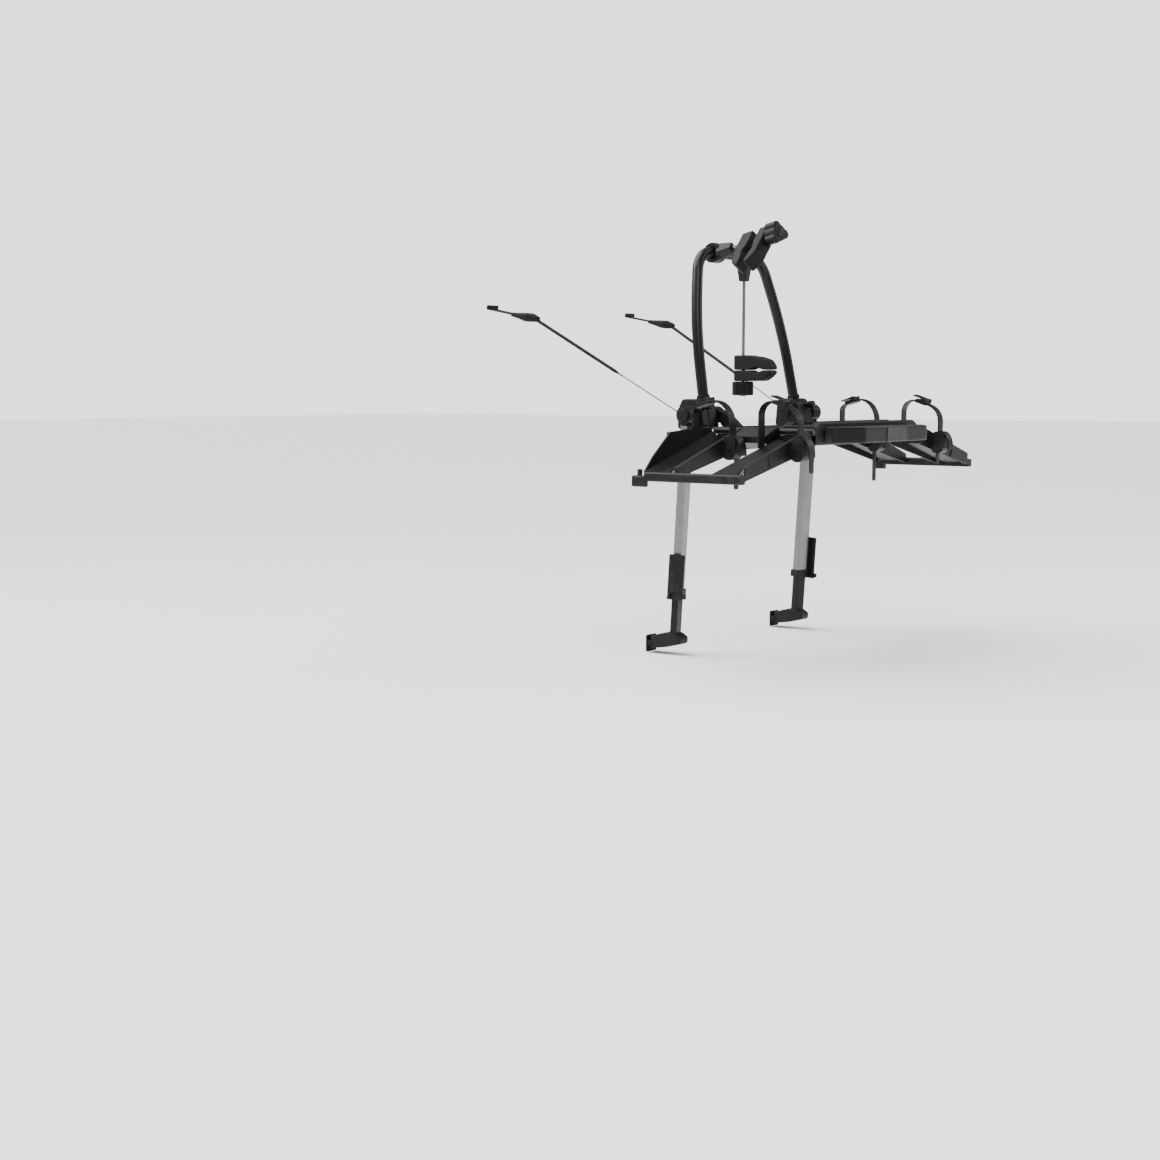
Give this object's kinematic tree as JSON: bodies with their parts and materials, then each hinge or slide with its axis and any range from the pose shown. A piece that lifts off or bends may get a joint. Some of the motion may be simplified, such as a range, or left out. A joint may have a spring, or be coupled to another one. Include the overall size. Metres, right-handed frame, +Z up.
{
  "type": "trunk mounted bike rack",
  "caption": "Folding bicycle rack that leans on a tailgate: arch frame with hubs, telescopic legs, hook cables, platform with folding wheel trays, straps and frame holders.",
  "frame": {"origin": "on the platform's pivot axis, midway between the two hubs", "axes": "+X to the right seen from behind the car, +Y towards the car, +Z up"},
  "size_m": [1.138, 1.0217, 1.0446],
  "materials": {
    "tube_black": "satin powder coat",
    "casting_black": "fine textured powder coat",
    "plastic_black": "moulded, fine grain",
    "rubber_black": "matt",
    "bright_steel": "zinc plated",
    "wire_rope": "black coated wire rope",
    "black_steel": "black dipped",
    "leg_aluminium": "satin anodised",
    "badge_blank": "bare, satin"
  },
  "bodies": {
    "frame": {"arch_tube": "tube_black", "hub_core_right": "casting_black", "hub_core_left": "casting_black", "hub_cover_right": "casting_black", "hub_cover_left": "casting_black", "hub_bolts": "black_steel", "pivot_axles": "black_steel", "rest_pads": "rubber_black"},
    "platform": {"beam_front": "plastic_black", "beam_rear": "plastic_black", "side_arms": "casting_black", "rear_cover": "plastic_black", "badge_plate": "badge_blank", "wing_pins": "bright_steel"},
    "wing_right": {"tray_front_right": "plastic_black", "tray_rear_right": "plastic_black", "cross_bars_right": "plastic_black", "strap_front_right": "rubber_black", "strap_rear_right": "rubber_black"},
    "buckle_front_right": {"buckle_front_right": "plastic_black"},
    "buckle_rear_right": {"buckle_rear_right": "plastic_black"},
    "leg_right": {"leg_head_right": "plastic_black", "leg_tube_right": "leg_aluminium", "leg_collar_right": "plastic_black"},
    "shin_right": {"leg_shin_right": "plastic_black", "foot_right": "plastic_black"},
    "foot_pad_right": {"foot_pad_right": "rubber_black"},
    "cam_lever_right": {"cam_lever_right": "plastic_black"},
    "hook_right": {"cable_right": "wire_rope", "hook_grip_right": "rubber_black"},
    "hook_plate_right": {"hook_plate_right": "black_steel"},
    "winder_right": {"winder_right": "plastic_black"},
    "wing_left": {"tray_front_left": "plastic_black", "tray_rear_left": "plastic_black", "cross_bars_left": "plastic_black", "strap_front_left": "rubber_black", "strap_rear_left": "rubber_black"},
    "buckle_front_left": {"buckle_front_left": "plastic_black"},
    "buckle_rear_left": {"buckle_rear_left": "plastic_black"},
    "leg_left": {"leg_head_left": "plastic_black", "leg_tube_left": "leg_aluminium", "leg_collar_left": "plastic_black"},
    "shin_left": {"leg_shin_left": "plastic_black", "foot_left": "plastic_black"},
    "foot_pad_left": {"foot_pad_left": "rubber_black"},
    "cam_lever_left": {"cam_lever_left": "plastic_black"},
    "hook_left": {"cable_left": "wire_rope", "hook_grip_left": "rubber_black"},
    "hook_plate_left": {"hook_plate_left": "black_steel"},
    "winder_left": {"winder_left": "plastic_black"},
    "holder_1": {"holder_clamp_1": "plastic_black", "holder_rod_1": "bright_steel", "fixed_jaw_1": "rubber_black"},
    "jaw_1": {"moving_jaw_1": "rubber_black"},
    "knob_1": {"holder_knob_1": "plastic_black"},
    "holder_2": {"holder_clamp_2": "plastic_black", "holder_rod_2": "bright_steel", "fixed_jaw_2": "rubber_black"},
    "jaw_2": {"moving_jaw_2": "rubber_black"},
    "knob_2": {"holder_knob_2": "plastic_black"}
  },
  "joints": [
    {"name": "platform_fold", "type": "hinge", "parent": "frame", "child": "platform", "pos_m": [0, 0, 0], "axis": [-1, 0, 0], "range_deg": [0, 70]},
    {"name": "wing_right_fold", "type": "hinge", "parent": "platform", "child": "wing_right", "pos_m": [0.258, -0.2, -0.037], "axis": [0, 1, 0], "range_deg": [-90, 0]},
    {"name": "buckle_front_right_lift", "type": "hinge", "parent": "wing_right", "child": "buckle_front_right", "pos_m": [0.345, -0.10032, 0.03913], "axis": [1, 0, 0], "range_deg": [0, 70]},
    {"name": "buckle_rear_right_lift", "type": "hinge", "parent": "wing_right", "child": "buckle_rear_right", "pos_m": [0.345, -0.3107, 0.03295], "axis": [1, 0, 0], "range_deg": [0, 70]},
    {"name": "leg_right_swing", "type": "hinge", "parent": "frame", "child": "leg_right", "pos_m": [0.286, 0, 0], "axis": [1, 0, 0], "range_deg": [-25, 50]},
    {"name": "leg_right_slide", "type": "slide", "parent": "leg_right", "child": "shin_right", "axis": [0, 0.061, -0.9981], "range_m": [-0.07, 0.1]},
    {"name": "foot_pad_right_tilt", "type": "hinge", "parent": "shin_right", "child": "foot_pad_right", "pos_m": [0.286, 0.094, -0.5595], "axis": [1, 0, 0], "range_deg": [-15, 15]},
    {"name": "cam_lever_right_open", "type": "hinge", "parent": "leg_right", "child": "cam_lever_right", "pos_m": [0.31339, 0.02117, -0.44153], "axis": [0.2079, 0.9763, 0.0597], "range_deg": [0, 90]},
    {"name": "hook_right_slide", "type": "slide", "parent": "frame", "child": "hook_right", "axis": [0.0979, 0.8664, 0.4896], "range_m": [-0.044, 0.02]},
    {"name": "winder_right_turn", "type": "hinge", "parent": "frame", "child": "winder_right", "pos_m": [0.242, 0, 0.022], "axis": [0, 1, 0], "range_deg": [-285, 130]},
    {"name": "hook_plate_right_tilt", "type": "hinge", "parent": "hook_right", "child": "hook_plate_right", "pos_m": [0.298, 0.52548, 0.25086], "axis": [1, 0, 0], "range_deg": [-25, 25]},
    {"name": "wing_left_fold", "type": "hinge", "parent": "platform", "child": "wing_left", "pos_m": [-0.258, -0.2, -0.037], "axis": [0, -1, 0], "range_deg": [-90, 0]},
    {"name": "buckle_front_left_lift", "type": "hinge", "parent": "wing_left", "child": "buckle_front_left", "pos_m": [-0.345, -0.10032, 0.03913], "axis": [1, 0, 0], "range_deg": [0, 70]},
    {"name": "buckle_rear_left_lift", "type": "hinge", "parent": "wing_left", "child": "buckle_rear_left", "pos_m": [-0.345, -0.3107, 0.03295], "axis": [1, 0, 0], "range_deg": [0, 70]},
    {"name": "leg_left_swing", "type": "hinge", "parent": "frame", "child": "leg_left", "pos_m": [-0.286, 0, 0], "axis": [1, 0, 0], "range_deg": [-25, 50]},
    {"name": "leg_left_slide", "type": "slide", "parent": "leg_left", "child": "shin_left", "axis": [0, 0.061, -0.9981], "range_m": [-0.07, 0.1]},
    {"name": "foot_pad_left_tilt", "type": "hinge", "parent": "shin_left", "child": "foot_pad_left", "pos_m": [-0.286, 0.094, -0.5595], "axis": [1, 0, 0], "range_deg": [-15, 15]},
    {"name": "cam_lever_left_open", "type": "hinge", "parent": "leg_left", "child": "cam_lever_left", "pos_m": [-0.31339, 0.02117, -0.44153], "axis": [0.2079, -0.9763, -0.0597], "range_deg": [0, 90]},
    {"name": "hook_left_slide", "type": "slide", "parent": "frame", "child": "hook_left", "axis": [-0.0979, 0.8664, 0.4896], "range_m": [-0.044, 0.02]},
    {"name": "winder_left_turn", "type": "hinge", "parent": "frame", "child": "winder_left", "pos_m": [-0.242, 0, 0.022], "axis": [0, -1, 0], "range_deg": [-285, 130]},
    {"name": "hook_plate_left_tilt", "type": "hinge", "parent": "hook_left", "child": "hook_plate_left", "pos_m": [-0.298, 0.52548, 0.25086], "axis": [1, 0, 0], "range_deg": [-25, 25]},
    {"name": "holder_1_swing", "type": "hinge", "parent": "frame", "child": "holder_1", "pos_m": [-0.068, 0.07184, 0.39925], "axis": [-1, 0, 0], "range_deg": [-25, 45]},
    {"name": "jaw_1_slide", "type": "slide", "parent": "holder_1", "child": "jaw_1", "axis": [-0.2173, -0.9641, 0.153], "range_m": [-0.018, 0.01]},
    {"name": "knob_1_turn", "type": "hinge", "parent": "jaw_1", "child": "knob_1", "pos_m": [-0.068, 0.07184, 0.39925], "axis": [-0.2173, -0.9641, 0.153], "range_deg": [-815, 455]},
    {"name": "holder_2_swing", "type": "hinge", "parent": "frame", "child": "holder_2", "pos_m": [0.066, 0.07184, 0.39925], "axis": [1, 0, 0], "range_deg": [-100, 0]},
    {"name": "jaw_2_slide", "type": "slide", "parent": "holder_2", "child": "jaw_2", "axis": [0, 0, -1], "range_m": [0, 0.025]},
    {"name": "knob_2_turn", "type": "hinge", "parent": "jaw_2", "child": "knob_2", "pos_m": [0.066, 0.07184, 0.39925], "axis": [0, 0, -1], "range_deg": [-5, 1130]}
  ],
  "couplings": [
    {"joint": "winder_right_turn", "follows": "hook_right_slide", "rad_per_m": 111.11},
    {"joint": "winder_left_turn", "follows": "hook_left_slide", "rad_per_m": 111.11},
    {"joint": "knob_1_turn", "follows": "jaw_1_slide", "rad_per_m": 785.4},
    {"joint": "knob_2_turn", "follows": "jaw_2_slide", "rad_per_m": 785.4}
  ]
}
